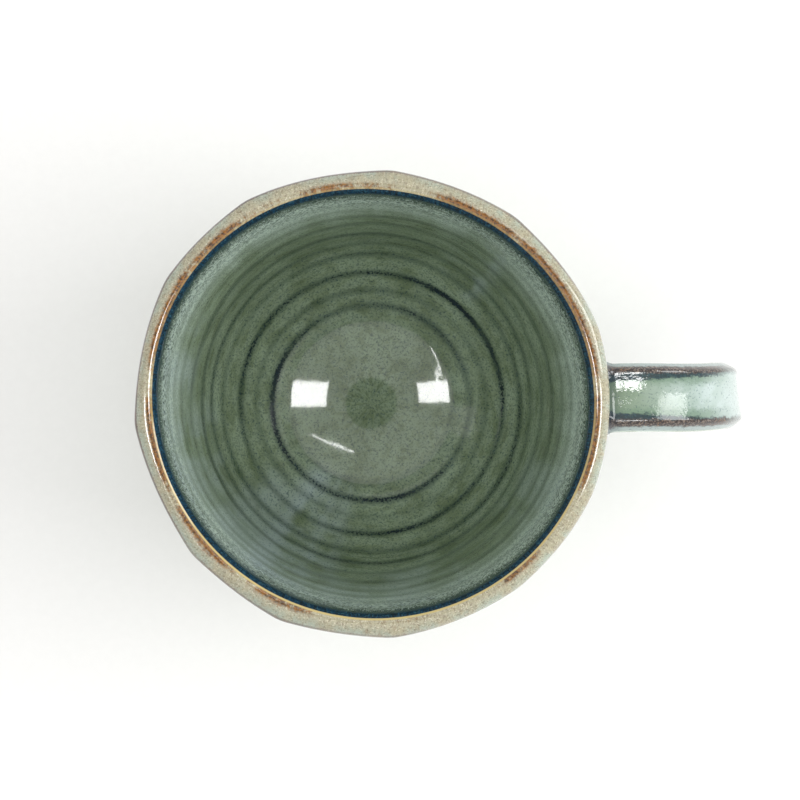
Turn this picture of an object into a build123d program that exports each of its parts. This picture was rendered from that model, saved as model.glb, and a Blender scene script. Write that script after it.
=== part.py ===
from build123d import *
import os
from math import cos, pi, radians, tan

# Hand-cut stoneware mug with a strap handle. Millimetres, +Z up.
# The origin is the centre of the foot ring, on the surface that the mug stands on.
# +X points along the handle.

# ---------------------------------------------------------------- driving sizes
height = 85.0                 # foot to lip, glazed
rim_radius = 45.4             # centre to a facet ridge at the lip, glazed
shoulder_radius = 29.5        # where the wall leaves the foot
wall_at_foot = 5.0            # wall thickness low down, measured at a ridge
wall_at_lip = 4.0             # the same just under the lip
wall_swell = 2.5              # how early the wall swells out: a higher value is fuller
wall_roundness = 0.72         # how sharply the wall leaves the foot

foot_radius = 27.5            # outside of the foot ring
foot_width = 5.0              # width of the ring that touches the table
foot_height = 4.0             # foot ring's height
foot_recess = 2.4             # depth of the hollow under the foot
foot_edge = 0.6               # softened edges of the foot ring

floor_level = 6.5             # inside floor at its centre, above the table
floor_bowl_radius = 54.0      # the floor is a shallow bowl of this radius
floor_bowl_share = 0.8        # it ends at this share of the inside radius above it

cavity_levels = [0.26, 0.46, 0.72]    # shares of the wall that the inside curve is led through

lip_outer_round = 2.2         # rounding of the lip's outside
lip_inner_round = 1.0         # rounding of the lip's inside
rim_band = 5.0                # how far the rim glaze reaches down the outside
rim_turn_in = 1.2             # how far it reaches down the inside

glaze = 0.4                   # thickness of the fired glaze
glaze_line = 5.2              # the outer glaze stops here, above the foot
slip = 0.8                    # thickness of the slip between strap and wall

# Facets, cut by hand, so they are uneven: the angle of each ridge from the handle.
ridge_angles = [18, 51, 84, 121, 148, 184, 219, 246, 274, 308, 337]
facet_flatness = 0.35          # 1 is a flat facet, 0 is a round wall
facet_start = 0.1             # below this share of the wall the facets fade into the round foot
facet_sections = 10           # outlines that the wall is lofted through, above the first
facet_crowding = 1.6          # how much closer they lie near the foot, where the wall curves most

# Throwing rings on the inside.
ring_count = 17               # scallops from the floor's centre to the lip
ring_plain = 2                # the last ones before the lip are wiped smooth
ring_depth = 0.22             # depth of a scallop

# Handle: a strap on a path of straight runs and arcs in the XZ plane.
strap_width = 13.3
strap_thickness = 7.5
strap_ridge_gap = 10.2        # between the two ridges on its outside
strap_channel = 0.7           # depth of the channel between them
strap_side = 2.4              # height of the nearly flat side
handle_projection = 29.8      # from the lip's ridge radius out to the strap's outermost point
handle_drop = 11.2            # the strap's top lies this far below the lip
handle_low_level = 27.0       # height where the outer run and the lower run would meet
handle_lean = 3.5             # degrees that the outer run leans in
handle_low_slope = 7.0        # degrees that the lower run falls towards the cup
handle_top_share = 0.64       # share of the outer run that the upper bend takes
handle_low_share = 0.34       # share of it that the lower bend takes
handle_high_root = 0.8        # share of the wall near which the strap's upper end is
handle_low_root = 0.2         # and its lower end
handle_root_depth = 6.0       # the strap's cutting solid runs this far inside the liner

far = 2 * (rim_radius + handle_projection + height)   # larger than the mug, for cutting tools


# ---------------------------------------------------------------- helpers
def along_wall(share):
    """Height of a share of the wall, from the foot to the lip."""
    return foot_height + share * (height - foot_height)


def outer_radius(share):
    """Distance from the axis to a glazed facet ridge at that share of the wall."""
    swell = (1 - (1 - share) ** wall_swell) ** wall_roundness
    return shoulder_radius + (rim_radius - shoulder_radius) * swell


def inner_radius(share):
    """Distance from the axis to the glazed inside of the wall."""
    return outer_radius(share) - wall_at_foot + (wall_at_foot - wall_at_lip) * share


def slab(bottom, top):
    """Everything between two heights."""
    return Pos(0, 0, bottom) * Box(far, far, top - bottom, align=(Align.CENTER, Align.CENTER, Align.MIN))


def turned(outline):
    """Solid of revolution about the cup's axis."""
    return revolve(make_face(Plane.XZ * outline), Axis.Z)


def only_solid(shape):
    """The one solid of a result."""
    return shape.solids().sort_by(SortBy.VOLUME)[-1]


# ---------------------------------------------------------------- cup, outside
def facet_section(share, inset):
    """Eleven-sided outline of the wall with bowed sides."""
    radius = outer_radius(share) - inset
    flatness = facet_flatness * min(1, share / facet_start)
    ridges = [Vector(radius, 0, 0).rotate(Axis.Z, angle) for angle in ridge_angles]
    sides = []
    for start, end in zip(ridges, ridges[1:] + ridges[:1]):
        half_turn = start.get_angle(end) / 2
        bow = radius * (1 - flatness * (1 - cos(radians(half_turn))))
        sides.append(ThreePointArc(start, (start + end).normalized() * bow, end))
    return Pos(0, 0, along_wall(share)) * make_face(sides)


def faceted_wall(inset):
    """Outside of the wall, filled in. The inset is the distance inside the glazed surface."""
    shares = [(level / facet_sections) ** facet_crowding for level in range(facet_sections + 1)]
    return loft([facet_section(share, inset) for share in shares])


def lip_envelope(inset):
    """Turned body that rounds the outside of the lip."""
    top = height - inset
    shoulder = height - lip_outer_round
    round_centre = rim_radius - lip_outer_round
    edge = rim_radius - inset
    diagonal = (lip_outer_round - inset) * cos(radians(45))
    outline = Polyline((0, top), (0, 0), (far, 0), (far, shoulder), (edge, shoulder))
    outline += ThreePointArc(
        (edge, shoulder),
        (round_centre + diagonal, shoulder + diagonal),
        (round_centre, top),
    )
    outline += Line((round_centre, top), (0, top))
    return turned(outline)


def cup_envelope(inset):
    """Outside of the cup above the foot, filled in."""
    return faceted_wall(inset) & lip_envelope(inset)


def foot():
    """Turned foot: a ring to stand on, and the disc above its hollow."""
    ring = Pos(foot_radius, 0) * Rectangle(foot_width, foot_recess, align=(Align.MAX, Align.MIN))
    disc = Pos(0, foot_recess) * Rectangle(foot_radius, foot_height - foot_recess, align=Align.MIN)
    section = ring + disc
    section = fillet(section.vertices().group_by(Axis.Y)[0], foot_edge)
    return revolve(Plane.XZ * section, Axis.Z)


# ---------------------------------------------------------------- cup, inside
def bowl_level(reach):
    """Height of the bowl-shaped floor at a distance from the axis."""
    return floor_level + floor_bowl_radius - (floor_bowl_radius**2 - reach**2) ** 0.5


def cavity_line():
    """Line of the inside, from the floor's centre to just under the lip."""
    bowl_reach = floor_bowl_share * inner_radius(cavity_levels[0])
    points = [(reach, bowl_level(reach)) for reach in (0, bowl_reach / 2, bowl_reach)]
    points += [(inner_radius(share), along_wall(share)) for share in cavity_levels]
    points.append((inner_radius(1), height - lip_inner_round))
    return Spline(points, tangents=[(1, 0), (0, 1)])


def scalloped(line, outset):
    """The line as a chain of shallow arcs, moved out into the clay by the outset."""
    steps = [index / ring_count for index in range(ring_count + 1)]

    def moved(share, extra):
        tangent = line % share
        return line @ share + Vector(tangent.Y, -tangent.X) * (outset + extra)

    chain = []
    for index, (low, high) in enumerate(zip(steps, steps[1:])):
        depth = ring_depth if index < ring_count - ring_plain else 0
        chain.append(ThreePointArc(moved(low, 0), moved((low + high) / 2, depth), moved(high, 0)))
    return chain


def cavity(outset):
    """Cutter for the inside of the cup, with the lip's inner rounding."""
    chain = scalloped(cavity_line(), outset)
    wall_end = chain[-1] @ 1
    lip_centre = Vector(inner_radius(1) + lip_inner_round, height - lip_inner_round)
    lip_radius = lip_inner_round - outset
    diagonal = lip_radius * cos(radians(45))
    lip_top = lip_centre + Vector(0, lip_radius)
    lip = ThreePointArc(wall_end, lip_centre + Vector(-diagonal, diagonal), lip_top)
    floor_start = chain[0] @ 0
    above = Polyline(lip_top, (lip_top.X, far), (0, far), floor_start)
    return turned(Curve() + chain + lip + above)


# ---------------------------------------------------------------- handle
def handle_path():
    """Middle line of the strap, from inside the upper wall to inside the lower wall."""
    middle_reach = rim_radius + handle_projection - strap_thickness / 2
    middle_top = height - handle_drop - strap_thickness / 2
    lean = radians(handle_lean)
    slope = radians(handle_low_slope)
    drop = middle_top - handle_low_level
    outer_run = drop / cos(lean)
    top_round = outer_run * handle_top_share / tan((pi / 2 + lean) / 2)
    low_round = outer_run * handle_low_share / tan((pi / 2 - lean - slope) / 2)
    corner_reach = middle_reach + top_round * (tan(lean) + 1 / cos(lean) - 1)
    low_reach = corner_reach - drop * tan(lean)
    low_end = inner_radius(handle_low_root) - handle_root_depth
    corners = [
        (inner_radius(handle_high_root) - handle_root_depth, 0, middle_top),
        (corner_reach, 0, middle_top),
        (low_reach, 0, handle_low_level),
        (low_end, 0, handle_low_level - (low_reach - low_end) * tan(slope)),
    ]
    return FilletPolyline(corners, radius=[top_round, low_round])


def strap_section(inset):
    """Strap outline: a channel between two ridges outside, a softly bowed inside."""
    half_width = strap_width / 2 - inset
    half_thickness = strap_thickness / 2 - inset
    ridge = strap_ridge_gap / 2 - inset / 2
    side = strap_side / 2
    channel_floor = half_thickness - strap_channel
    belly = half_width * cos(radians(55))
    return make_face(
        [
            ThreePointArc((-ridge, half_thickness), (0, channel_floor), (ridge, half_thickness)),
            Line((ridge, half_thickness), (half_width, side)),
            Line((half_width, side), (half_width, -side)),
            Line((half_width, -side), (belly, -half_thickness)),
            Line((belly, -half_thickness), (-belly, -half_thickness)),
            Line((-belly, -half_thickness), (-half_width, -side)),
            Line((-half_width, -side), (-half_width, side)),
            Line((-half_width, side), (-ridge, half_thickness)),
        ]
    )


def strap(inset):
    """The whole swept strap, running into the wall at both ends."""
    path = handle_path()
    start = Plane(origin=path @ 0, x_dir=(0, 1, 0), z_dir=path % 0)
    return sweep(start * strap_section(inset), path=path)


# ---------------------------------------------------------------- the mug
def clay_pieces():
    """Cup, strap and the slip between them."""
    outside = cup_envelope(glaze)
    slipped_outside = faceted_wall(glaze - slip)
    clay_strap = strap(glaze)
    joints = ((clay_strap & slipped_outside) - outside).solids()
    joints = joints.filter_by_position(Axis.X, 0, far).sort_by(Axis.Z)
    return {
        "cup_body": outside + foot() - cavity(glaze),
        "handle": clay_strap - slipped_outside,
        "lower_slip_joint": joints[0],
        "upper_slip_joint": joints[-1],
    }


def glaze_pieces():
    """The coats: inside, over the lip, down the facets and over the strap."""
    glazed_outside = cup_envelope(0)
    clay_cavity = cavity(glaze)
    clay_strap = strap(glaze)
    skin = glazed_outside - cup_envelope(glaze) - clay_cavity
    liner = (glazed_outside & clay_cavity) - cavity(0)
    band_edge = height - rim_band
    turn_edge = height - rim_turn_in
    return {
        "outer_glaze": (skin & slab(glaze_line, band_edge)) - clay_strap,
        "rim_glaze": (skin & slab(band_edge, far)) + (liner & slab(turn_edge, far)),
        "liner_glaze": liner - slab(turn_edge, far),
        "handle_glaze": strap(0) - clay_strap - glazed_outside,
    }


os.makedirs("parts", exist_ok=True)
for name, piece in {**clay_pieces(), **glaze_pieces()}.items():
    export_step(only_solid(piece), f"parts/{name}.step")
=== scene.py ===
from math import cos, pi, radians, sin, sqrt, tan

import bpy
import numpy as np
from mathutils import Matrix, Vector


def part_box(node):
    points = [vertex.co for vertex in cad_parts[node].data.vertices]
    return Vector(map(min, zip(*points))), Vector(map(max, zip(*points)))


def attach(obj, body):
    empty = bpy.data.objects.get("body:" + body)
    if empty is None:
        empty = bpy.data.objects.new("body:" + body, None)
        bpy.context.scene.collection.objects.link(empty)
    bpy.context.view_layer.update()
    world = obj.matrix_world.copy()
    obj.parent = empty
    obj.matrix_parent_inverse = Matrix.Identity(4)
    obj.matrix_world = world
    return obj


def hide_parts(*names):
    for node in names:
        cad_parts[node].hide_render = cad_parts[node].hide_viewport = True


# A hand-cut stoneware mug with a reactive glaze. Lengths are in millimetres up to the point where
# a mesh is made, and the row's frame is kept: +Z up, +X along the handle.
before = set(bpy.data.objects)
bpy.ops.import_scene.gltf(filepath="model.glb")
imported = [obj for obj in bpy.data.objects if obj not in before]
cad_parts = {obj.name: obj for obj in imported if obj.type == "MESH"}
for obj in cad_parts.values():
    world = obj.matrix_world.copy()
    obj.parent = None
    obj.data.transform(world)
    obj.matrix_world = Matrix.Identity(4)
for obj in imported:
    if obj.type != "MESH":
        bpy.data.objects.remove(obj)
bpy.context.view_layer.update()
MM = 0.001

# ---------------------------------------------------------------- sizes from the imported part
rim_low, rim_high = [Vector(corner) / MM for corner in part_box("rim_glaze")]
strap_low, strap_high = [Vector(corner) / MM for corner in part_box("handle_glaze")]
liner_low = Vector(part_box("liner_glaze")[0]) / MM
skirt_low = Vector(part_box("outer_glaze")[0]) / MM

GLAZE = 0.4                                    # thickness of the coat
HEIGHT = rim_high.z
RIM_RADIUS = max(-rim_low.x, -rim_low.y, rim_high.y)
FLOOR_LEVEL = liner_low.z + GLAZE
GLAZE_LINE = skirt_low.z
STRAP_REACH = strap_high.x
STRAP_TOP = strap_high.z
STRAP_WIDTH = strap_high.y - strap_low.y

# ---------------------------------------------------------------- sizes shared with the CAD design
SHOULDER_RADIUS = 29.5                         # where the wall leaves the foot
FOOT_RADIUS = 27.5
FOOT_WIDTH = 5.0
FOOT_HEIGHT = 4.0
FOOT_RECESS = 2.4
WALL_SWELL = 2.5
WALL_ROUNDNESS = 0.72
BOWL_RADIUS = 54.0                             # the floor is a shallow bowl
INNER_WALL = ((31.2, 19.5), (34.9, 31.0), (37.4, 46.0), (39.2, 63.0))    # radius and height inside
BOWL_EDGE = 22.0                               # the floor's bowl ends here and the wall begins
STRAP_THICKNESS = 7.5
STRAP_RIDGE = 5.1                              # from the strap's middle to each ridge
STRAP_CHANNEL = 0.75
STRAP_ROLL = radians(5)                        # the strap is set on a little askew
LEAN = radians(3.5)
LOW_SLOPE = radians(7.0)
LOW_LEVEL = 27.0
TOP_BEND_SHARE = 0.64
LOW_BEND_SHARE = 0.34

# ---------------------------------------------------------------- the hand's traces
# Ridges left by the knife: angle, how far the rim's edge stands out there, and how flat the cut is
# that follows (0 round, 1 straight).
RIDGES = (
    (18, 0.8, 0.26),
    (51, 0.0, 0.32),
    (84, -0.25, 0.32),
    (121, 0.6, 0.28),
    (148, 0.85, 0.32),
    (184, 0.4, 0.42),
    (219, -0.15, 0.43),
    (246, 0.15, 0.47),
    (274, 0.1, 0.22),
    (308, 0.2, 0.16),
    (337, 0.8, 0.06),
)
CUT_DEEPENS = 0.6                              # the cuts get this much flatter towards the foot
LIP_INNER = (2.1, 3.0)                         # half axes of the lip's inner quarter ellipse
LIP_THICKNESS = 4.65
LIP_OUTER_DROP = 3.0                           # height of its outer quarter ellipse
INNER_OVAL = (0.28, radians(22), 0.76, radians(-20), 0.24, radians(17))    # the inside is off round
LIP_WAVE = 0.15                                # scale of the crest's rise and fall
RIM_INSIDE = -1.2                              # the rim coat's edges, along the surface from the crest
RIM_OUTSIDE = 5.6
COLUMNS = 360                                  # mesh columns round the cup
RIDGE_WIDTH = 1.6                              # of the thin glaze on a facet's ridge
ROOT_FLARE = 2.4                               # the strap widens this much into the wall
ROOT_DEPTHS = (2.6, 3.0)                       # its upper and lower ends run this far into the wall
STRAP_BEND = (62, 71)                          # the strap turns down between these reaches
GLAZE_BEAD = 0.22                              # the outer coat swells above its lower edge

# Throwing rings: distance from the axis, half width, depth, and how dark the glaze pools in them.
RINGS = (
    (10.1, 1.3, 0.02, 0.20),
    (17.2, 1.0, 0.03, 0.45),
    (21.1, 1.0, 0.04, 1.00),
    (24.4, 1.1, 0.05, 0.55),
    (27.9, 1.1, 0.08, 1.00),
    (31.5, 1.5, 0.12, 0.75),
    (33.5, 1.6, 0.14, 0.75),
    (35.2, 1.9, 0.15, 0.75),
    (36.8, 2.3, 0.15, 0.65),
    (38.0, 2.8, 0.15, 0.55),
    (38.8, 2.8, 0.13, 0.40),
)
# Marks of the firing round the cup: angle, half width in degrees, strength.
RUSTY_SPOTS = (
    (27, 26, 1.0), (59, 14, 1.0), (99, 18, 0.55), (136, 22, 0.7), (160, 12, 0.9), (189, 17, 0.85),
    (218, 15, 0.8), (244, 10, 0.7), (278, 8, 0.35), (310, 8, 0.7), (350, 18, 0.75),
)
DARK_EDGES = (
    (43, 16, 0.8), (70, 20, 0.7), (100, 26, 0.9), (140, 45, 1.0), (185, 40, 1.0), (238, 26, 0.7),
    (268, 16, 0.5),
)
CREAM_EDGES = ((270, 100, 1.0), (60, 120, 0.3))
# Milky runs in the liner: angle, half width in degrees, start and end along the surface, strength.
# They are partly painted light: the pale streak at 52° is a painted reflection, and the runs from 165° to
# 283° are also laid on to lighten the left and lower wall.
MILKY_RUNS_AND_PAINTED_LIGHT = (
    (241, 16, -12, -88, 0.9), (222, 12, -20, -80, 0.55), (196, 18, -6, -66, 0.6), (52, 9, -20, -72, 0.8),
    (283, 15, -8, -56, 0.5), (165, 14, -8, -50, 0.5), (330, 12, -14, -60, 0.4), (258, 22, -6, -48, 0.5),
)
UPPER_RINGS = (4, 7.5, 2.2, 0.12, 0.25)        # above them: count, spacing, half width, depth, tone

rng = np.random.default_rng(11)
RIDGE_DRIFT = np.radians(rng.uniform(-4, 4, len(RIDGES)))


# ---------------------------------------------------------------- curves
def ease(value, low, high):
    """0 below low, 1 above high, smooth between."""
    share = np.clip((value - low) / (high - low), 0, 1)
    return share * share * (3 - 2 * share)


def bell(distance, width):
    """1 at no distance, falling off over the width."""
    return np.exp(-((distance / width) ** 2))


def clamped_spline(points, start, end, count):
    """Smooth curve through 2D points with given end directions."""
    points = np.array(points, float)
    knots = np.concatenate([[0], np.cumsum(np.hypot(*np.diff(points, axis=0).T))])
    gaps = np.diff(knots)
    size = len(points)
    matrix = np.eye(size)
    slopes = np.zeros((size, 2))
    slopes[0], slopes[-1] = start, end
    for i in range(1, size - 1):
        before, after = gaps[i - 1], gaps[i]
        came, goes = points[i] - points[i - 1], points[i + 1] - points[i]
        matrix[i, i - 1:i + 2] = 1 / before, 2 / before + 2 / after, 1 / after
        slopes[i] = 3 * came / before**2 + 3 * goes / after**2
    slopes = np.linalg.solve(matrix, slopes)
    place = np.linspace(0, knots[-1], count)
    span = np.clip(np.searchsorted(knots, place, side="right") - 1, 0, size - 2)
    gap = gaps[span][:, None]
    share = ((place - knots[span]) / gaps[span])[:, None]
    return (
        points[span] * (1 + 2 * share) * (1 - share) ** 2
        + slopes[span] * gap * share * (1 - share) ** 2
        + points[span + 1] * share**2 * (3 - 2 * share)
        + slopes[span + 1] * gap * share**2 * (share - 1)
    )


def rounded_path(corners, radii, step):
    """Polyline with arcs at its inner corners, sampled about every step."""
    corners = [np.array(corner, float) for corner in corners]
    points = [corners[0]]
    for before, corner, after, radius in zip(corners, corners[1:], corners[2:], radii):
        away, on = corner - before, after - corner
        away, on = away / np.hypot(*away), on / np.hypot(*on)
        turn = np.arctan2(away[0] * on[1] - away[1] * on[0], away @ on)
        cut = radius * tan(abs(turn) / 2)
        side = np.array([-away[1], away[0]]) * np.sign(turn)
        centre = corner - away * cut + side * radius
        for share in np.linspace(0, 1, max(3, int(abs(turn) * radius / step))):
            spin = turn * share
            spoke = -side * radius
            points.append(centre + [
                spoke[0] * cos(spin) - spoke[1] * sin(spin),
                spoke[0] * sin(spin) + spoke[1] * cos(spin),
            ])
    points.append(corners[-1])
    return resampled(np.array(points), step)


def resampled(points, step, closed=False):
    """The same line with even steps."""
    if closed:
        points = np.vstack([points, points[:1]])
    length = np.concatenate([[0], np.cumsum(np.hypot(*np.diff(points, axis=0).T))])
    count = max(8, int(round(length[-1] / step)))
    place = np.linspace(0, length[-1], count + 1)
    if closed:
        place = place[:-1]
    return np.column_stack([np.interp(place, length, points[:, axis]) for axis in (0, 1)])


def softened(points, step, width, closed=False):
    """The line with its corners eased by a bell-shaped average. An open line's ends stay."""
    reach = int(3 * width / step)
    weights = bell(np.arange(-reach, reach + 1) * step, width * sqrt(2))
    weights /= weights.sum()
    if closed:
        padded = np.vstack([points[-reach:], points, points[:reach]])
    else:
        head = 2 * points[0] - points[reach:0:-1]
        tail = 2 * points[-1] - points[-2:-reach - 2:-1]
        padded = np.vstack([head, points, tail])
    return np.column_stack([np.convolve(padded[:, axis], weights, "valid") for axis in (0, 1)])


# ---------------------------------------------------------------- the cup's surface
def wall_radius(level):
    """Distance from the axis to the glazed wall's ridges at a height."""
    share = np.clip((level - FOOT_HEIGHT) / (HEIGHT - FOOT_HEIGHT), 0, 1)
    swell = (1 - (1 - share) ** WALL_SWELL) ** WALL_ROUNDNESS
    return SHOULDER_RADIUS + (RIM_RADIUS - SHOULDER_RADIUS) * swell


def facets(angle, level):
    """How far the cut wall lies from the round one, with ridges eased, and how near a ridge is."""
    weights = (0.15, 0.22, 0.26, 0.22, 0.15)
    samples = [sharp_facets(angle + radians(0.8 * (k - 2)), level) for k in range(5)]
    return [sum(weight * sample[part] for weight, sample in zip(weights, samples)) for part in (0, 1)]


def sharp_facets(angle, level):
    """The same before the ridges are eased."""
    angle, level = np.broadcast_arrays(angle, level)
    radius = wall_radius(level)
    fall = 1 - level / HEIGHT
    cut = np.zeros(angle.shape)
    nearness = np.zeros(angle.shape)
    count = len(RIDGES)
    for i, (at, stand_out, flatness) in enumerate(RIDGES):
        following, next_out, _ = RIDGES[(i + 1) % count]
        ridge = radians(at) + RIDGE_DRIFT[i] * fall
        next_ridge = radians(following + 360 * (i + 1 == count)) + RIDGE_DRIFT[(i + 1) % count] * fall
        half = (next_ridge - ridge) / 2
        turn = (angle - ridge) % (2 * pi)
        share = turn / (2 * half)
        chord = radius * (1 - np.cos(half) / np.cos(np.clip(turn - half, -half, half)))
        depth = flatness * (1 + CUT_DEEPENS * fall) * chord
        edge = stand_out + (next_out - stand_out) * share * share * (3 - 2 * share)
        cut = np.where(share < 1, edge - depth, cut)
        nearness = np.maximum(nearness, bell(np.minimum(turn, 2 * pi - turn) * radius, RIDGE_WIDTH))
    return ease(level, 6, 16) * cut, nearness * ease(level, 6, 16)


def lobes(angle, oval):
    """One-, two- and three-lobed departure from a circle."""
    one, one_at, two, two_at, three, three_at = oval
    return (
        one * np.cos(angle - one_at)
        + two * np.cos(2 * (angle - two_at))
        + three * np.cos(3 * (angle - three_at))
    )


def profile():
    """Glazed outline from the floor's centre over the lip to the foot: u, radius, level, outwardness.

    u is the distance along the outline from the lip's crest, negative inside the cup."""
    tilt = np.linspace(0, np.arcsin(BOWL_EDGE / BOWL_RADIUS), 400)
    bowl = np.column_stack([BOWL_RADIUS * np.sin(tilt), FLOOR_LEVEL + BOWL_RADIUS * (1 - np.cos(tilt))])
    across, up = LIP_INNER
    lip_start = RIM_RADIUS - LIP_THICKNESS
    points = [bowl[-1], *INNER_WALL, (lip_start, HEIGHT - up)]
    wall = clamped_spline(points, (cos(tilt[-1]), sin(tilt[-1])), (0, 1), 2000)
    inside = np.vstack([bowl, wall[1:]])
    crest = lip_start + across
    turn = np.linspace(pi, pi / 2, 60)[1:]
    lip_in = np.column_stack([crest + across * np.cos(turn), HEIGHT - up + up * np.sin(turn)])
    turn = np.linspace(pi / 2, 0, 90)[1:]
    shoulder = HEIGHT - LIP_OUTER_DROP
    lip_out = np.column_stack([
        crest + (RIM_RADIUS - crest) * np.cos(turn),
        shoulder + LIP_OUTER_DROP * np.sin(turn),
    ])
    fall = np.linspace(1, 0, 1600)[1:] ** 2
    level = FOOT_HEIGHT + (shoulder - FOOT_HEIGHT) * fall
    outside = np.column_stack([wall_radius(level), level])
    line = np.vstack([inside, lip_in, lip_out, outside])
    outwardness = np.concatenate([
        np.zeros(len(inside) + len(lip_in)),
        np.cos(turn),
        np.ones(len(outside)),
    ])
    length = np.concatenate([[0], np.cumsum(np.hypot(*np.diff(line, axis=0).T))])
    return length - length[len(inside) + len(lip_in) - 1], line[:, 0], line[:, 1], outwardness


U, RADIUS, LEVEL, OUTWARDNESS = profile()
U_CENTRE = U[0]
U_START = U_CENTRE + 0.5                       # the meshes' first row, beside the pole on the axis
U_FOOT = U[-1]
INSIDE = U < -LIP_INNER[1]
RING_U = [float(np.interp(reach, RADIUS[INSIDE], U[INSIDE])) for reach, *_ in RINGS]
U_GLAZE_LINE = float(np.interp(-GLAZE_LINE, -LEVEL[~INSIDE], U[~INSIDE]))


def rings(u, angle):
    """Depth of the throwing rings, and how strongly glaze pools there."""
    depth = np.zeros(np.broadcast(u, angle).shape)
    pool = np.zeros(depth.shape)
    count, spacing, wide, cut_above, tone_above = UPPER_RINGS
    above = [(RING_U[-1] + spacing * (k + 1), wide, cut_above, tone_above) for k in range(count)]
    lines = [(place, *line[1:]) for place, line in zip(RING_U, RINGS)] + above
    for index, (place, width, cut, tone) in enumerate(lines):
        loose = ease(place, RING_U[3], RING_U[9])
        sway = (0.25 + loose) * (
            0.5 * np.sin(2 * angle + 0.7 * index)
            + 0.4 * np.sin(3 * angle + 1.9 * index)
            + 0.35 * np.sin(7 * angle + 2.1 * index) * loose)
        strength = 0.75 + 0.25 * np.sin(2 * angle + 2.4 * index) * np.sin(angle + index)
        near = bell(u - place - sway, width) * strength
        depth += cut * near
        pool = np.maximum(pool, tone * near)
    return depth, pool


def raw_surface(u, angle):
    """Glazed surface without the throwing rings."""
    radius = np.interp(u, U, RADIUS)
    level = np.interp(u, U, LEVEL)
    outward = np.interp(u, U, OUTWARDNESS)
    cut, _ = facets(angle, level)
    radius = (
        radius
        + (1 - outward) * ease(level, 20, 78) * lobes(angle, INNER_OVAL)
        + outward * cut
    )
    sag = 0.10 * np.sin(3 * angle + level * 0.11) + 0.07 * np.sin(7 * angle - level * 0.16)
    radius = radius + outward * ease(level, 8, 30) * ease(HEIGHT - level, 2, 20) * sag
    wave = np.sin(2 * angle + 1.0) + 0.5 * np.sin(3 * angle - 0.6) + 0.3 * np.sin(7 * angle)
    level = level + LIP_WAVE * ease(level, 55, HEIGHT) * wave
    return np.stack([radius * np.cos(angle), radius * np.sin(angle), level + 0 * angle], axis=-1)


def surface(u, angle, depth=0.0):
    """Points of the cup's skin, a depth inside the glazed surface."""
    u, angle = np.broadcast_arrays(u, angle)
    step, spin = 0.15, 0.004
    here = raw_surface(u, angle)
    further, nearer = np.minimum(u + step, U_FOOT), np.maximum(u - step, U_CENTRE)
    along = raw_surface(further, angle) - raw_surface(nearer, angle)
    across = raw_surface(u, angle + spin) - raw_surface(u, angle - spin)
    normal = np.cross(along, across)
    length = np.linalg.norm(normal, axis=-1, keepdims=True)
    upward = np.broadcast_to([0.0, 0.0, 1.0], normal.shape)
    normal = np.where(length > 1e-6, normal / np.maximum(length, 1e-9), upward)
    groove, _ = rings(u, angle)
    return here - normal * (groove + depth)[..., None]


# ---------------------------------------------------------------- meshes
def lathe_mesh(name, rows, values, start_pole=None, end_pole=None):
    """Closed mesh of rows of points round an axis. Without poles the last row joins the first."""
    rows = np.asarray(rows)
    count, columns = rows.shape[:2]
    points = rows.reshape(-1, 3)
    i, j = np.meshgrid(np.arange(count - 1), np.arange(columns), indexing="ij")
    following = (j + 1) % columns
    corners = np.stack([
        i * columns + j, (i + 1) * columns + j, (i + 1) * columns + following, i * columns + following,
    ], axis=-1).reshape(-1, 4)
    faces = corners.tolist()
    if start_pole is None:
        last = (count - 1) * columns
        faces += [(last + k, k, (k + 1) % columns, last + (k + 1) % columns) for k in range(columns)]
    else:
        points = np.vstack([points, [start_pole, end_pole]])
        top, bottom = len(points) - 2, len(points) - 1
        last = (count - 1) * columns
        faces += [(top, k, (k + 1) % columns) for k in range(columns)]
        faces += [(bottom, last + (k + 1) % columns, last + k) for k in range(columns)]
    mesh = bpy.data.meshes.new(name)
    mesh.from_pydata((points * MM).tolist(), [], faces)
    mesh.update()
    if signed_volume(mesh) < 0:
        mesh.flip_normals()
    for key, value in values.items():
        flat = np.asarray(value, float).reshape(-1)
        if start_pole is not None:
            flat = np.concatenate([flat, [flat[0], flat[-1]]])
        mesh.attributes.new(key, "FLOAT", "POINT").data.foreach_set("value", flat)
    mesh.shade_smooth()
    mesh.set_sharp_from_angle(angle=radians(50))
    piece = bpy.data.objects.new(name, mesh)
    bpy.context.scene.collection.objects.link(piece)
    return piece


def signed_volume(mesh):
    """Six times the mesh's volume, negative when its faces look inward."""
    mesh.calc_loop_triangles()
    place = np.empty(len(mesh.vertices) * 3)
    mesh.vertices.foreach_get("co", place)
    place = place.reshape(-1, 3)
    corner = np.empty(len(mesh.loop_triangles) * 3, int)
    mesh.loop_triangles.foreach_get("vertices", corner)
    a, b, c = (place[corner.reshape(-1, 3)[:, k]] for k in range(3))
    return float(np.einsum("ij,ij->i", a, np.cross(b, c)).sum())


ANGLES = np.linspace(0, 2 * pi, COLUMNS, endpoint=False)[None, :]


def patches(angle, spots):
    """Strength round the cup of a feature that is present in spots: angle, half width, strength."""
    total = 0 * angle
    for at, wide, strength in spots:
        away = np.degrees((angle - radians(at) + pi) % (2 * pi) - pi)
        total = np.maximum(total, strength * ease(1.3 - np.abs(away) / wide, 0, 0.9))
    return total


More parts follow.
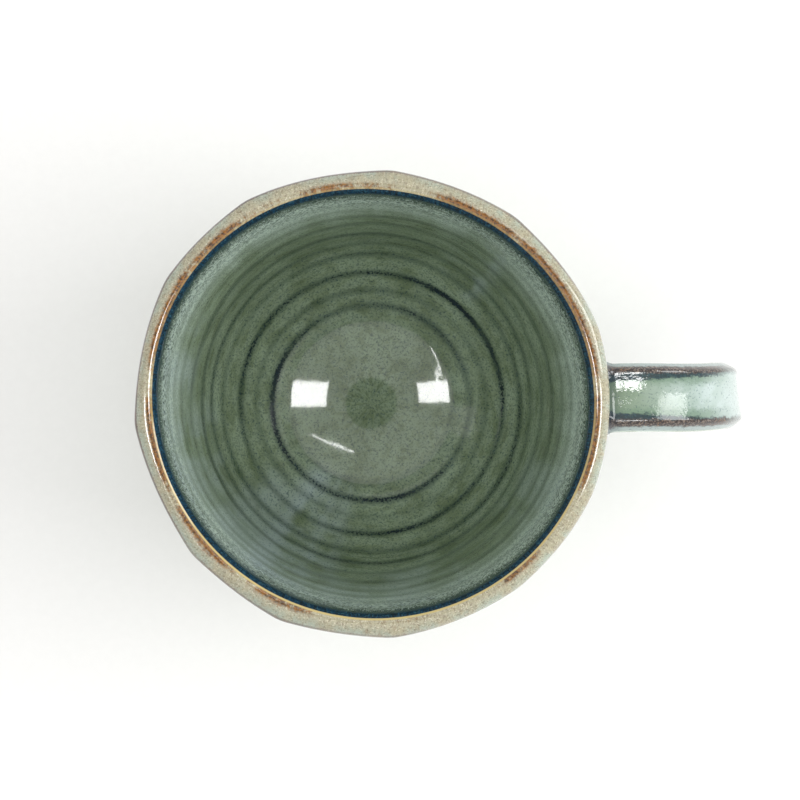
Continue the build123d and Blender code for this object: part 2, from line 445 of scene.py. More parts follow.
def skin_values(u, angle):
    """What the cup's glaze looks at: where it lies, pooling, ridges, the marks of the firing, and milky
    runs that are partly painted light.
    """
    u, angle = np.broadcast_arrays(u, angle)
    level = np.interp(u, U, LEVEL)
    outward = np.interp(u, U, OUTWARDNESS)
    # milky runs, partly painted light: they lighten the left and lower wall, and the streak at 52° is a
    # painted reflection
    runs = 0 * u
    for at, wide, start, end, strength in MILKY_RUNS_AND_PAINTED_LIGHT:
        length = ease(-u, -start, -start + 6) * (1 - ease(-u, -end - 6, -end))
        runs = np.maximum(runs, length * patches(angle, ((at, wide, strength),)))
    return {
        "lip_u": u,
        "pool": rings(u, angle)[1],
        "ridge": facets(angle, level)[1] * outward,
        "rust": patches(angle, RUSTY_SPOTS),
        "dark_edge": patches(angle, DARK_EDGES),
        "cream": patches(angle, CREAM_EDGES),
        "run": runs,
    }


def coat(name, start, end, outer_rows, inner_rows, *poles):
    """Closed shell of glaze between two distances from the crest, which may vary round the cup.

    With poles it also closes over the axis: their points lie on the outer and on the inner face."""
    outer_u = start + (end - start) * np.linspace(0, 1, outer_rows)[:, None]
    inner_u = start + (end - start) * np.linspace(1, 0, inner_rows)[:, None]
    outer = surface(outer_u, ANGLES, edge_thinning(outer_u, ANGLES))
    inner = surface(inner_u, ANGLES, GLAZE)
    front, rear = skin_values(outer_u, ANGLES), skin_values(inner_u, ANGLES)
    values = {key: np.vstack([front[key], rear[key]]) for key in front}
    return lathe_mesh(name, np.concatenate([outer, inner]), values, *poles)


def glaze_line_u(angle):
    """The wavy lower edge of the outside glaze."""
    dips = 0.5 * np.sin(3 * angle + 0.4) + 0.35 * np.sin(8 * angle + 1.9) + 0.2 * np.sin(17 * angle)
    return U_GLAZE_LINE - 0.9 + 0.7 * dips


def edge_thinning(u, angle):
    """The glaze swells to a bead above its lower edge and rounds off to nothing on it."""
    above = glaze_line_u(angle) - u
    bead = -GLAZE_BEAD * bell(above - 1.1, 0.9)
    tip = np.clip(1 - above / 0.7, 0, 1)
    return bead + (GLAZE + 0.02 - bead) * (1 - np.sqrt(1 - tip**2))


def clay_cup():
    """The clay under the glaze, down to the bare turned foot."""
    u = np.concatenate([
        np.linspace(U_START, -4, 60),
        np.linspace(-3.5, 6, 24),
        np.linspace(7, U_FOOT - 6, 50),
        np.linspace(U_FOOT - 5.5, U_FOOT, 24),
    ])[:, None]
    skin = surface(u, ANGLES, GLAZE)
    inner_edge = FOOT_RADIUS - FOOT_WIDTH
    corners = [
        (SHOULDER_RADIUS - 1.0, FOOT_HEIGHT - 0.1),
        (FOOT_RADIUS, FOOT_HEIGHT - 0.3),
        (FOOT_RADIUS - 0.15, 0),
        (inner_edge + 0.2, 0),
        (inner_edge, FOOT_RECESS),
        (2, FOOT_RECESS),
    ]
    outline = rounded_path(corners, (0.8, 0.7, 0.7, 1.2), 0.3)
    reach, level = outline[:, 0][:, None], outline[:, 1][:, None]
    chatter = 0.05 * np.sin(reach * 4.2) * ease(inner_edge - reach, 0.5, 2.0)
    foot = np.stack(np.broadcast_arrays(
        reach * np.cos(ANGLES), reach * np.sin(ANGLES), level + chatter,
    ), axis=-1)
    points = np.concatenate([skin, foot])
    return lathe_mesh("clay_cup", points, {}, (0, 0, FLOOR_LEVEL - GLAZE), (0, 0, FOOT_RECESS))


# ---------------------------------------------------------------- the strap
def strap_path(step):
    """Middle line of the strap in the XZ plane, from inside the upper wall to inside the lower."""
    middle_reach = STRAP_REACH - STRAP_THICKNESS / 2
    middle_top = STRAP_TOP - STRAP_THICKNESS / 2
    drop = middle_top - LOW_LEVEL
    run = drop / cos(LEAN)
    top_round = run * TOP_BEND_SHARE / tan((pi / 2 + LEAN) / 2)
    low_round = run * LOW_BEND_SHARE / tan((pi / 2 - LEAN - LOW_SLOPE) / 2)
    corner = middle_reach + top_round * (tan(LEAN) + 1 / cos(LEAN) - 1)
    low = corner - drop * tan(LEAN)
    upper_start = wall_radius(middle_top) - ROOT_DEPTHS[0]
    lower_end = wall_radius(LOW_LEVEL - 5) - ROOT_DEPTHS[1]
    corners = [
        (upper_start, middle_top),
        (corner, middle_top),
        (low, LOW_LEVEL),
        (lower_end, LOW_LEVEL - (low - lower_end) * tan(LOW_SLOPE)),
    ]
    return softened(rounded_path(corners, (top_round, low_round), step), step, 2.5)


def strap_section(inset, step=0.3):
    """Closed outline of the strap: across, outward. A channel between two soft ridges."""
    side = STRAP_WIDTH / 2
    half = STRAP_THICKNESS / 2
    channel = [
        (STRAP_RIDGE * share, half - STRAP_CHANNEL * (1 - share**2))
        for share in np.linspace(-1, 1, 13)
    ]
    corners = channel + [
        (side + 0.1, 1.2), (side + 0.1, -1.2), (5.2, -3.2), (3.2, -half), (-3.2, -half), (-5.2, -3.2),
        (-side - 0.1, -1.2), (-side - 0.1, 1.2),
    ]
    outline = resampled(np.array(corners), step, closed=True)
    outline = softened(outline, step, 0.45, closed=True)
    along = np.roll(outline, -1, axis=0) - np.roll(outline, 1, axis=0)
    normal = np.column_stack([along[:, 1], -along[:, 0]])
    normal /= np.hypot(*normal.T)[:, None]
    if (normal * outline).sum() < 0:
        normal = -normal
    return outline - normal * inset, normal


def strap_rows(inset):
    """Points of the strap's surface. It flares into the cup's wall at both roots."""
    step = 0.6
    path = strap_path(step)
    along = np.gradient(path, axis=0)
    along /= np.hypot(*along.T)[:, None]
    outward = np.column_stack([-along[:, 1], along[:, 0]])
    outline, normal = strap_section(inset)
    wander = 0.12 * np.sin(np.arange(len(path)) * step * 0.21)

    def placed(line):
        across = line[..., 0] * cos(STRAP_ROLL) + line[..., 1] * sin(STRAP_ROLL)
        rise = line[..., 1] * cos(STRAP_ROLL) - line[..., 0] * sin(STRAP_ROLL)
        reach = path[:, None, 0] + outward[:, None, 0] * rise
        level = path[:, None, 1] + outward[:, None, 1] * rise
        return np.stack([reach, across + wander[:, None], level], axis=-1)

    grid = np.broadcast_to(outline, (len(path),) + outline.shape).copy()
    bend = ease(path[:, 0], *STRAP_BEND)[:, None]
    filled = bend * (outline[:, 1] > 1.8)
    grid[..., 1] += 0.8 * filled * STRAP_CHANNEL * np.clip(1 - (outline[:, 0] / STRAP_RIDGE) ** 2, 0, 1)
    points = placed(grid)
    for _ in range(2):
        angle = np.arctan2(points[..., 1], points[..., 0])
        level = points[..., 2]
        wall = wall_radius(level) + facets(angle, level)[0]
        gap = np.hypot(points[..., 0], points[..., 1]) - wall
        near = np.clip(1 - gap / ROOT_FLARE, 0, 1)
        grow = ROOT_FLARE * (1 - np.sqrt(1 - near**2 * 0.999))
        points = placed(grid + normal * grow[..., None])
    # gap and turn also set the strap's painted shade by the wall and painted light at the bend
    values = {
        "across": grid[..., 0] / (STRAP_WIDTH / 2),
        "outward": grid[..., 1] / (STRAP_THICKNESS / 2),
        "gap": gap,
        "turn": np.broadcast_to(bend, gap.shape),
    }
    return points, values


def strap_coat():
    """The strap's glaze, a closed shell."""
    outer, values = strap_rows(0.0)
    inner, back = strap_rows(GLAZE)
    every_third = slice(None, None, -3)
    joined = {key: np.vstack([values[key], back[key][every_third]]) for key in values}
    return lathe_mesh("strap_coat", np.concatenate([outer, inner[every_third]]), joined)


def strap_clay():
    """The strap's clay under its glaze."""
    rows = strap_rows(GLAZE)[0][::2]
    return lathe_mesh("strap_clay", rows, {}, rows[0].mean(axis=0), rows[-1].mean(axis=0))


# ---------------------------------------------------------------- materials
def srgb(red, green, blue):
    """Display colour, 0 to 255, as a linear colour."""
    def linear(value):
        value /= 255
        return value / 12.92 if value <= 0.04045 else ((value + 0.055) / 1.055) ** 2.4
    return (linear(red), linear(green), linear(blue), 1.0)


class Nodes:
    """Adds nodes to one material and wires them. Values are numbers, colours or other nodes' outputs."""

    def __init__(self, name):
        self.material = bpy.data.materials.new(name)
        self.material.use_nodes = True
        self.tree = self.material.node_tree
        self.shader = self.tree.nodes["Principled BSDF"]
        place = self.add("ShaderNodeTexCoord").outputs["Object"]
        self.place = self.scaled(place, (1 / MM,) * 3)

    def add(self, kind, **settings):
        node = self.tree.nodes.new(kind)
        for key, value in settings.items():
            setattr(node, key, value)
        return node

    def put(self, socket, value):
        if isinstance(value, bpy.types.NodeSocket):
            self.tree.links.new(value, socket)
        else:
            socket.default_value = value

    def scaled(self, vector, factors):
        node = self.add("ShaderNodeVectorMath", operation="MULTIPLY")
        self.put(node.inputs[0], vector)
        self.put(node.inputs[1], factors)
        return node.outputs[0]

    def value(self, name):
        return self.add("ShaderNodeAttribute", attribute_name=name).outputs["Fac"]

    def math(self, operation, first, second=0.0, third=0.0, clamp=False):
        node = self.add("ShaderNodeMath", operation=operation, use_clamp=clamp)
        for socket, value in zip(node.inputs, (first, second, third)):
            self.put(socket, value)
        return node.outputs[0]

    def times(self, *factors):
        total = factors[0]
        for factor in factors[1:]:
            total = self.math("MULTIPLY", total, factor)
        return total

    def plus(self, first, second, clamp=False):
        return self.math("ADD", first, second, clamp=clamp)

    def flipped(self, value):
        return self.math("SUBTRACT", 1.0, value, clamp=True)

    def ease(self, value, low, high, start=0.0, end=1.0):
        node = self.add("ShaderNodeMapRange", interpolation_type="SMOOTHSTEP")
        for socket, entry in zip(node.inputs, (value, low, high, start, end)):
            self.put(socket, entry)
        return node.outputs[0]

    def band(self, value, start, full, fade, end):
        """0 before start, 1 between full and fade, 0 after end."""
        return self.times(self.ease(value, start, full), self.flipped(self.ease(value, fade, end)))

    def noise(self, vector, scale, detail=2.0, roughness=0.5, distortion=0.0, kind="Fac"):
        node = self.add("ShaderNodeTexNoise")
        self.put(node.inputs["Vector"], vector)
        node.inputs["Scale"].default_value = scale
        node.inputs["Detail"].default_value = detail
        node.inputs["Roughness"].default_value = roughness
        node.inputs["Distortion"].default_value = distortion
        return node.outputs[kind]

    def cells(self, vector, scale, feature="F1", randomness=1.0):
        node = self.add("ShaderNodeTexVoronoi", feature=feature)
        self.put(node.inputs["Vector"], vector)
        node.inputs["Scale"].default_value = scale
        node.inputs["Randomness"].default_value = randomness
        return node.outputs["Distance"]

    def mix(self, share, first, second, blend="MIX"):
        node = self.add("ShaderNodeMix", data_type="RGBA", blend_type=blend, clamp_factor=True)
        self.put(node.inputs["Factor"], share)
        self.put(node.inputs[6], first)
        self.put(node.inputs[7], second)
        return node.outputs[2]

    def round_and_round(self, along, stretch, radius=45.0):
        """Coordinates that run round the axis, with the profile's length squeezed by the stretch."""
        split = self.add("ShaderNodeSeparateXYZ")
        self.put(split.inputs[0], self.place)
        flat = self.add("ShaderNodeCombineXYZ")
        self.put(flat.inputs[0], split.outputs[0])
        self.put(flat.inputs[1], split.outputs[1])
        unit = self.add("ShaderNodeVectorMath", operation="NORMALIZE")
        self.put(unit.inputs[0], flat.outputs[0])
        wide = self.scaled(unit.outputs[0], (radius,) * 3)
        lift = self.add("ShaderNodeCombineXYZ")
        self.put(lift.inputs[2], self.times(along, stretch))
        total = self.add("ShaderNodeVectorMath", operation="ADD")
        self.put(total.inputs[0], wide)
        self.put(total.inputs[1], lift.outputs[0])
        return total.outputs[0]

    def bump(self, height, strength, distance):
        node = self.add("ShaderNodeBump")
        node.inputs["Strength"].default_value = strength
        node.inputs["Distance"].default_value = distance * MM
        self.put(node.inputs["Height"], height)
        return node.outputs[0]

    def finish(self, colour, roughness, normal, ior=1.5, coat=0.0):
        self.put(self.shader.inputs["Base Color"], colour)
        self.put(self.shader.inputs["Roughness"], roughness)
        self.put(self.shader.inputs["Normal"], normal)
        self.shader.inputs["IOR"].default_value = ior
        if coat:
            self.shader.inputs["Coat Weight"].default_value = coat
            self.shader.inputs["Coat Roughness"].default_value = 0.05
        return self.material


SEAFOAM = srgb(216, 234, 222)
SAGE = srgb(173, 191, 164)
OLIVE = srgb(120, 135, 104)
DEEP = srgb(56, 76, 64)
NAVY = srgb(18, 52, 74)
INK = srgb(12, 29, 42)
# milky glaze colour, also used as painted light on the left and lower wall of the liner
MILK_AND_PAINTED_LIGHT = srgb(182, 198, 200)
RUST = srgb(134, 88, 38)
BROWN = srgb(84, 62, 46)
BEIGE = srgb(172, 166, 140)
CREAM = srgb(190, 172, 116)
CLAY = srgb(190, 168, 138)


def specks(n, vector, scale, low, high, amount=1.0):
    """Small irregular dots where fine noise is high."""
    fine = n.noise(vector, scale, detail=1.0, roughness=0.4)
    return n.times(n.ease(fine, low, high), amount)


class Skin:
    """The values and noises that the zones of the cup's glaze have in common."""

    def __init__(self, n):
        self.u = n.value("lip_u")
        self.pool = n.value("pool")
        self.ridge = n.value("ridge")
        self.cloud = n.noise(n.place, 0.11, detail=3.0, roughness=0.55)
        self.grain = n.noise(n.place, 2.1, detail=2.0, roughness=0.6)
        self.streaks = n.noise(n.round_and_round(self.u, 0.10), 1.0, detail=3.0, roughness=0.6)
        self.threads = n.noise(n.round_and_round(self.u, 0.14), 3.0, detail=2.0, roughness=0.6)
        self.around = n.noise(n.round_and_round(self.u, 0.05), 0.09, detail=2.0, roughness=0.5)
        dots = specks(n, n.place, 2.4, 0.60, 0.68)
        large_dots = specks(n, n.place, 1.4, 0.64, 0.72, n.ease(self.cloud, 0.42, 0.66))
        self.dots = n.plus(dots, large_dots, clamp=True)


def inside_colour(n, skin):
    """Olive floor and wall, sea green towards the lip, blue-black where the glaze pools."""
    circles = n.noise(n.round_and_round(skin.u, 1.0, radius=12.0), 0.45, detail=3.0, roughness=0.6)
    edge_of_green = n.plus(skin.u, n.times(n.math("SUBTRACT", skin.around, 0.5), 40.0))
    green = n.ease(edge_of_green, -42.0, -16.0)
    body = n.plus(n.times(circles, 0.6), n.times(skin.cloud, 0.4))
    colour = n.mix(n.ease(body, 0.34, 0.66), OLIVE, SAGE)
    colour = n.mix(n.times(green, n.ease(circles, 0.2, 0.6, 0.70, 1.0)), colour, SEAFOAM)
    colour = n.mix(n.times(n.ease(circles, 0.44, 0.70), n.flipped(green), 0.30), colour, DEEP)
    colour = n.mix(n.times(n.ease(skin.grain, 0.44, 0.70), 0.46), colour, DEEP)

    # milky runs, partly painted light: they lighten the left and lower wall, and the pale streak at 52°
    # is a painted reflection
    run = n.times(n.value("run"), n.ease(n.plus(skin.around, n.times(skin.cloud, 0.8)), 0.70, 1.05))
    colour = n.mix(n.times(run, 0.85), colour, MILK_AND_PAINTED_LIGHT)

    colour = n.mix(n.times(n.ease(skin.pool, 0.05, 0.75), 0.66), colour, DEEP)
    broken = n.ease(n.plus(n.times(skin.pool, 0.9), n.times(skin.grain, 0.9)), 1.02, 1.20)
    colour = n.mix(n.times(broken, n.ease(skin.cloud, 0.30, 0.60, 0.45, 0.95)), colour, INK)
    colour = n.mix(n.times(skin.dots, 0.5), colour, NAVY)

    # a blue-black band under the lip, with streaks and dots hanging from it
    hang = n.plus(skin.u, n.times(n.math("SUBTRACT", skin.threads, 0.5), 26.0))
    band = n.math("MAXIMUM", n.ease(hang, -8.8, -6.4), n.ease(skin.u, -5.4, -4.0))
    dotted = n.times(specks(n, n.place, 1.7, 0.50, 0.58), n.ease(skin.u, -30.0, -6.0), 0.9)
    ink = n.mix(n.ease(skin.threads, 0.35, 0.65), INK, NAVY)
    ink = n.mix(n.times(n.ease(skin.grain, 0.50, 0.66), 0.5), ink, srgb(58, 98, 112))
    return n.mix(n.plus(band, dotted, clamp=True), colour, ink)


def lip_colour(n, skin):
    """Speckled beige, where the glaze breaks thin: a cream line and rust on its inner turn."""
    patchy = n.noise(n.round_and_round(skin.u, 0.5), 0.22, detail=3.0, roughness=0.6)
    mottled = n.noise(n.round_and_round(skin.u, 0.8), 1.1, detail=3.0, roughness=0.75)
    beige = n.mix(n.ease(skin.threads, 0.3, 0.7), BEIGE, srgb(154, 150, 128))
    outer = n.times(n.ease(patchy, 0.38, 0.60), n.ease(skin.u, -0.2, 2.4))
    beige = n.mix(n.times(outer, 0.85), beige, srgb(160, 172, 158))
    beige = n.mix(n.times(n.ease(mottled, 0.52, 0.70), 0.45), beige, srgb(120, 100, 78))
    beige = n.mix(n.times(specks(n, n.place, 2.8, 0.55, 0.66), 0.40), beige, BROWN)
    beige = n.mix(n.times(specks(n, n.place, 3.2, 0.60, 0.68), 0.55), beige, srgb(212, 206, 182))

    ragged = n.plus(skin.u, n.times(n.math("SUBTRACT", mottled, 0.5), 2.4))
    uneven = n.plus(n.math("SUBTRACT", mottled, 0.5), n.math("SUBTRACT", patchy, 0.5))
    spread = n.plus(n.value("rust"), n.times(uneven, 1.5))
    rust = n.times(n.band(ragged, -1.9, -1.4, -0.2, 0.8), n.ease(spread, 0.25, 0.75), 0.95)
    dark = n.ease(n.noise(n.place, 1.6, detail=2.0, roughness=0.7), 0.42, 0.62)
    beige = n.mix(rust, beige, n.mix(dark, RUST, srgb(66, 42, 28)))
    cream = n.times(n.band(skin.u, -1.3, -1.1, -0.85, -0.6), n.value("cream"))
    beige = n.mix(cream, beige, CREAM)
    rim = n.plus(skin.u, n.times(skin.threads, 0.6))
    edge = n.times(n.band(rim, 2.5, 3.3, 6.0, 9.0), n.value("dark_edge"))
    return n.mix(edge, beige, n.mix(n.ease(mottled, 0.4, 0.7), srgb(58, 42, 34), srgb(96, 62, 44)))


def wall_colour(n, skin):
    """Grey-green facets with runs and dots, bare brown ridges, and a dark roll above the foot."""
    colour = n.mix(n.ease(skin.cloud, 0.35, 0.65), SAGE, SEAFOAM)
    run = n.times(n.ease(skin.streaks, 0.46, 0.66), n.ease(skin.u, 6.0, 20.0), 0.5)
    colour = n.mix(run, colour, OLIVE)
    blue = n.times(n.ease(skin.streaks, 0.60, 0.72), n.ease(skin.u, 20.0, 45.0), 0.55)
    colour = n.mix(blue, colour, NAVY)
    colour = n.mix(n.times(skin.dots, n.ease(skin.u, 6.0, 14.0), 0.55), colour, NAVY)
    return n.mix(n.times(n.ease(skin.u, 74.0, 92.0), 0.6), colour, DEEP)


def cup_glaze(name):
    """Reactive glaze of the whole cup. Its zones follow the distance from the lip's crest."""
    n = Nodes(name)
    skin = Skin(n)
    colour = n.mix(n.ease(skin.u, -1.25, -1.10), inside_colour(n, skin), lip_colour(n, skin))
    down = n.plus(skin.u, n.times(n.math("SUBTRACT", skin.streaks, 0.5), 10.0))
    colour = n.mix(n.ease(down, 6.0, 14.0), colour, wall_colour(n, skin))
    thin = n.ease(n.plus(skin.ridge, n.times(skin.grain, 0.5)), 0.75, 1.25)
    bare = n.times(thin, n.ease(skin.u, 4.0, 9.0))
    colour = n.mix(n.times(bare, 0.85), colour, n.mix(skin.threads, BROWN, RUST))
    roughness = n.ease(skin.grain, 0.2, 0.9, 0.04, 0.10)
    pits = n.math("POWER", n.cells(n.place, 0.9), 0.5)
    height = n.plus(n.noise(n.place, 0.5, detail=2.0), n.times(n.ease(pits, 0.0, 0.35), 0.25))
    return n.finish(colour, roughness, n.bump(height, 0.25, 0.03))


def strap_glaze():
    """The same glaze on the strap: brown on the ridges, blue beside them, pale in the channel, with
    painted shade by the wall and painted light where it bends down.
    """
    n = Nodes("strap_glaze")
    across = n.value("across")
    outward = n.value("outward")
    gap = n.value("gap")
    turn = n.value("turn")
    stretched = n.scaled(n.place, (0.45, 1.0, 0.45))
    grain = n.noise(n.place, 2.4, detail=2.0, roughness=0.6)
    cloud = n.noise(n.place, 0.25, detail=3.0)
    fray = n.times(n.math("SUBTRACT", n.noise(stretched, 1.6, detail=3.0, roughness=0.65), 0.5), 0.30)
    edge = n.plus(n.math("ABSOLUTE", across), fray)
    # near: the strap is painted darker green, with wider navy edges, close to the wall, as painted shade
    near = n.flipped(n.ease(gap, 1.0, 24.0))
    upper_side = n.ease(across, -0.2, 0.3)

    mint_with_painted_shade_and_light = n.mix(n.ease(cloud, 0.35, 0.65), srgb(158, 176, 168), srgb(178, 193, 190))
    mint_with_painted_shade_and_light = n.mix(n.times(near, 0.9), mint_with_painted_shade_and_light, srgb(104, 124, 96))
    # painted light: the channel is paler where the strap bends down, and its green, navy and brown edges
    # fade there with it
    mint_with_painted_shade_and_light = n.mix(n.times(turn, 0.6), mint_with_painted_shade_and_light, srgb(198, 210, 208))
    colour = n.mix(n.times(n.ease(edge, 0.25, 0.50), n.flipped(turn), 0.7), mint_with_painted_shade_and_light, srgb(96, 122, 100))
    # the navy edges widen by the wall as part of the painted shade
    reach = n.math("MULTIPLY_ADD", near, -0.16, n.math("MULTIPLY_ADD", upper_side, -0.05, 0.60))
    navy = n.ease(n.math("SUBTRACT", edge, reach), 0.0, 0.10)
    ink = n.mix(n.ease(grain, 0.40, 0.70), INK, srgb(30, 60, 70))
    colour = n.mix(n.times(navy, n.ease(turn, 0.2, 1.0, 1.0, 0.25), 0.9), colour, ink)
    brown = n.mix(n.ease(grain, 0.44, 0.66), srgb(54, 46, 44), srgb(122, 110, 100))
    brown = n.mix(n.times(n.ease(cloud, 0.52, 0.64), n.ease(grain, 0.50, 0.62), 0.6), brown, RUST)
    colour = n.mix(n.times(n.ease(edge, 0.64, 0.74), n.ease(turn, 0.4, 1.0, 1.0, 0.45)), colour, brown)
    side = n.plus(n.math("ABSOLUTE", across), n.times(fray, 0.4))
    colour = n.mix(n.ease(side, 0.86, 0.92), colour, srgb(158, 172, 170))
    back = n.mix(n.ease(cloud, 0.4, 0.6), SAGE, SEAFOAM)
    colour = n.mix(n.flipped(n.ease(outward, 0.15, 0.45)), colour, back)
    root = n.times(n.flipped(n.ease(gap, 0.0, 4.0)), 0.6)
    colour = n.mix(root, colour, INK)
    colour = n.mix(n.times(specks(n, n.place, 2.6, 0.62, 0.70), 0.4), colour, NAVY)

    roughness = n.ease(grain, 0.2, 0.9, 0.05, 0.14)
    orange_peel = n.noise(n.place, 1.1, detail=2.0, roughness=0.6)
    return n.finish(colour, roughness, n.bump(orange_peel, 0.5, 0.10))


def bare_clay(name, dark):
    """Fired stoneware: sandy, with iron specks and faint turning marks."""
    n = Nodes(name)
    sand = n.noise(n.place, 3.5, detail=3.0, roughness=0.7)
    cloud = n.noise(n.place, 0.12, detail=2.0)
    colour = n.mix(n.ease(sand, 0.3, 0.7), CLAY, srgb(172, 148, 118))
    colour = n.mix(n.times(n.ease(cloud, 0.4, 0.7), 0.4), colour, srgb(158, 128, 100))
    iron = specks(n, n.place, 1.7, 0.68, 0.74)
    colour = n.mix(n.times(iron, 0.75), colour, srgb(84, 56, 38))
    colour = n.mix(dark, colour, srgb(120, 98, 78))
    height = n.plus(sand, n.times(n.noise(n.scaled(n.place, (0.3, 0.3, 3.0)), 2.0), 0.5))
    return n.finish(colour, n.ease(sand, 0.2, 0.8, 0.75, 0.95), n.bump(height, 0.6, 0.12))


def table_top():
    """Matt white board."""
    n = Nodes("table_top")
    grain = n.noise(n.place, 0.4, detail=4.0, roughness=0.7)
    colour = n.mix(n.ease(grain, 0.3, 0.7), (0.80, 0.795, 0.79, 1.0), (0.815, 0.81, 0.805, 1.0))
    return n.finish(colour, n.ease(grain, 0.2, 0.8, 0.6, 0.75), n.bump(grain, 0.05, 0.1))


def black_cloth():
    """What the camera stands behind: it shows only in reflections."""
    n = Nodes("black_cloth")
    weave = n.noise(n.place, 0.8, detail=2.0)
    colour = n.mix(n.ease(weave, 0.3, 0.7), (0.004, 0.004, 0.004, 1.0), (0.008, 0.008, 0.008, 1.0))
    return n.finish(colour, n.ease(weave, 0.2, 0.8, 0.9, 1.0), n.bump(weave, 0.1, 0.1))


# ---------------------------------------------------------------- the pieces
def dress(piece, material, slot, *nodes):
    """Gives a piece its finish, hangs it on the root body and hides the CAD nodes it takes the place of.
    """
    piece.data.materials.append(material)
    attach(piece, "root")
    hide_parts(*nodes)


def dress_slip_joints():
    """The CAD's own slip joints stay, with a clay finish."""
    slip = bare_clay("joining_slip", 0.5)
    for name in ("upper_slip_joint", "lower_slip_joint"):
        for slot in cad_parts[name].material_slots:
            slot.material = slip


liner_poles = (0, 0, FLOOR_LEVEL), (0, 0, FLOOR_LEVEL - GLAZE)
liner = coat("liner_coat", U_START, RIM_INSIDE, 210, 40, *liner_poles)
rim = coat("rim_coat", RIM_INSIDE, RIM_OUTSIDE, 48, 12)
wall = coat("facet_coat", RIM_OUTSIDE, glaze_line_u(ANGLES), 200, 50)
dress(liner, cup_glaze("liner_glaze"), "green_liner_glaze", "liner_glaze")
dress(rim, cup_glaze("rim_glaze"), "breaking_rim_glaze", "rim_glaze")
dress(wall, cup_glaze("facet_glaze"), "facet_glaze", "outer_glaze")
dress(strap_coat(), strap_glaze(), "strap_glaze", "handle_glaze")
dress(clay_cup(), bare_clay("bare_clay", 0.0), "fired_clay", "cup_body")
dress(strap_clay(), bare_clay("strap_clay", 0.1), "fired_clay", "handle")
dress_slip_joints()

# ---------------------------------------------------------------- studio sizes, in metres and radians
RIM_CENTRE = Vector((0, 0, HEIGHT * MM))
TABLE_HALF = 2.5
CAMERA_ABOVE_RIM = 0.600
CAMERA_AIM = Vector((0.0055, 0.0005, 0))       # from the rim's centre
CAMERA_ROLL = radians(1.1)
CAMERA_LENS = 141.2                            # on a 36 mm wide sensor
HOOD_RADIUS = 0.133
HOOD_GAP = 0.01                                # it lies this far behind the camera
SKY = (1.44, 0.75)                             # brightness overhead and low down

# Lamps as seen from the rim's centre: slope along X and along Y, distance, width, height, watts, spin.
DAYLIGHT = (tan(radians(56)), -0.05, 1.2, 0.70, 0.90, 8.0, 0)
REFLECTED_LAMPS = {
    "key_softbox": (tan(radians(29)), -0.093, 1.0, 0.31, 0.20, 4.2, 0),
    "side_softbox": (tan(radians(66)), 0.80, 1.3, 0.55, 0.60, 8.0, 0),
    "fill_softbox": (-tan(radians(28.5)), -0.09, 1.0, 0.22, 0.165, 2.4, 0),
    "near_strip": (0.356, 0.355, 1.0, 0.37, 0.012, 0.35, radians(28)),
    "far_strip": (-0.608, -0.316, 1.0, 0.012, 0.37, 0.35, 0),
}


# ---------------------------------------------------------------- studio
def prop(name, outline, material):
    """Flat sheet that belongs to the studio, not to the mug."""
    mesh = bpy.data.meshes.new(name)
    mesh.from_pydata(outline, [], [range(len(outline))])
    mesh.materials.append(material)
    sheet = bpy.data.objects.new(name, mesh)
    bpy.context.scene.collection.objects.link(sheet)
    return sheet


def table():
    corners = ((-1, -1), (1, -1), (1, 1), (-1, 1))
    prop("table", [(x * TABLE_HALF, y * TABLE_HALF, 0) for x, y in corners], table_top())


def camera_hood(sides=64):
    """Black disc behind the camera. It shows only as the dark spot that the floor mirrors."""
    spokes = [2 * pi * k / sides for k in range(sides)]
    outline = [(HOOD_RADIUS * cos(spoke), HOOD_RADIUS * sin(spoke), 0) for spoke in spokes]
    hood = prop("camera_hood", outline, black_cloth())
    hood.location = RIM_CENTRE + Vector((0, 0, CAMERA_ABOVE_RIM + HOOD_GAP))
    hood.visible_camera = False
    hood.visible_diffuse = False
    hood.visible_shadow = False


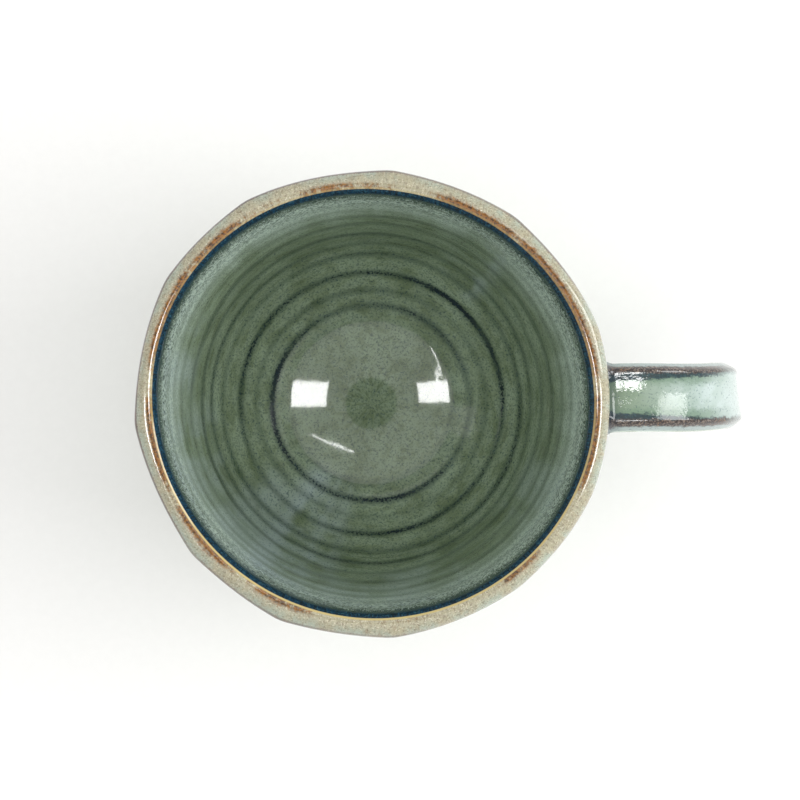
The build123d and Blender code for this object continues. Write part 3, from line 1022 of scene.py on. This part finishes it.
def softbox(name, along_x, along_y, distance, wide, tall, power, spin):
    """Rectangular lamp that faces the rim's centre."""
    direction = Vector((along_x, along_y, 1)).normalized()
    data = bpy.data.lights.new(name, "AREA")
    data.shape = "RECTANGLE"
    data.size, data.size_y = wide, tall
    data.energy = power
    inward = -direction
    side = Vector((0, 1, 0)).cross(inward).normalized()
    side = Matrix.Rotation(spin, 3, inward) @ side
    up = inward.cross(side)
    lamp = bpy.data.objects.new(name, data)
    lamp.matrix_world = placed_at(RIM_CENTRE + direction * distance, side, up, -inward)
    bpy.context.scene.collection.objects.link(lamp)
    return lamp


def placed_at(place, right, up, back):
    """Matrix of a lamp or a camera that looks away from its back."""
    return Matrix.Translation(place) @ Matrix((right, up, back)).transposed().to_4x4()


def studio_sky(overhead, low):
    """White ceiling that fades towards the walls of the studio."""
    world = bpy.data.worlds.new("studio")
    world.use_nodes = True
    tree = world.node_tree
    direction = tree.nodes.new("ShaderNodeTexCoord").outputs["Generated"]
    split = tree.nodes.new("ShaderNodeSeparateXYZ")
    fade = tree.nodes.new("ShaderNodeMapRange")
    fade.interpolation_type = "SMOOTHSTEP"
    for socket, value in zip(list(fade.inputs)[1:5], (cos(radians(60)), cos(radians(30)), low, overhead)):
        socket.default_value = value
    tree.links.new(direction, split.inputs[0])
    tree.links.new(split.outputs[2], fade.inputs[0])
    background = tree.nodes["Background"]
    background.inputs["Color"].default_value = (1.0, 0.995, 0.985, 1.0)
    tree.links.new(fade.outputs[0], background.inputs["Strength"])
    return world


def top_camera():
    """Camera high over the rim, aimed a little towards the handle."""
    data = bpy.data.cameras.new("camera")
    data.sensor_width = 36.0
    data.lens = CAMERA_LENS
    camera = bpy.data.objects.new("camera", data)
    place = RIM_CENTRE + Vector((0, 0, CAMERA_ABOVE_RIM))
    back = (place - RIM_CENTRE - CAMERA_AIM).normalized()
    up = Vector((sin(CAMERA_ROLL), cos(CAMERA_ROLL), 0))
    right = up.cross(back).normalized()
    camera.matrix_world = placed_at(place, right, back.cross(right), back)
    bpy.context.scene.collection.objects.link(camera)
    return camera


table()
softbox("daylight", *DAYLIGHT).visible_glossy = False
for name, lamp in REFLECTED_LAMPS.items():
    softbox(name, *lamp).visible_diffuse = False
camera_hood()
bpy.context.scene.world = studio_sky(*SKY)
bpy.context.scene.view_settings.view_transform = "Standard"
bpy.context.scene.camera = top_camera()
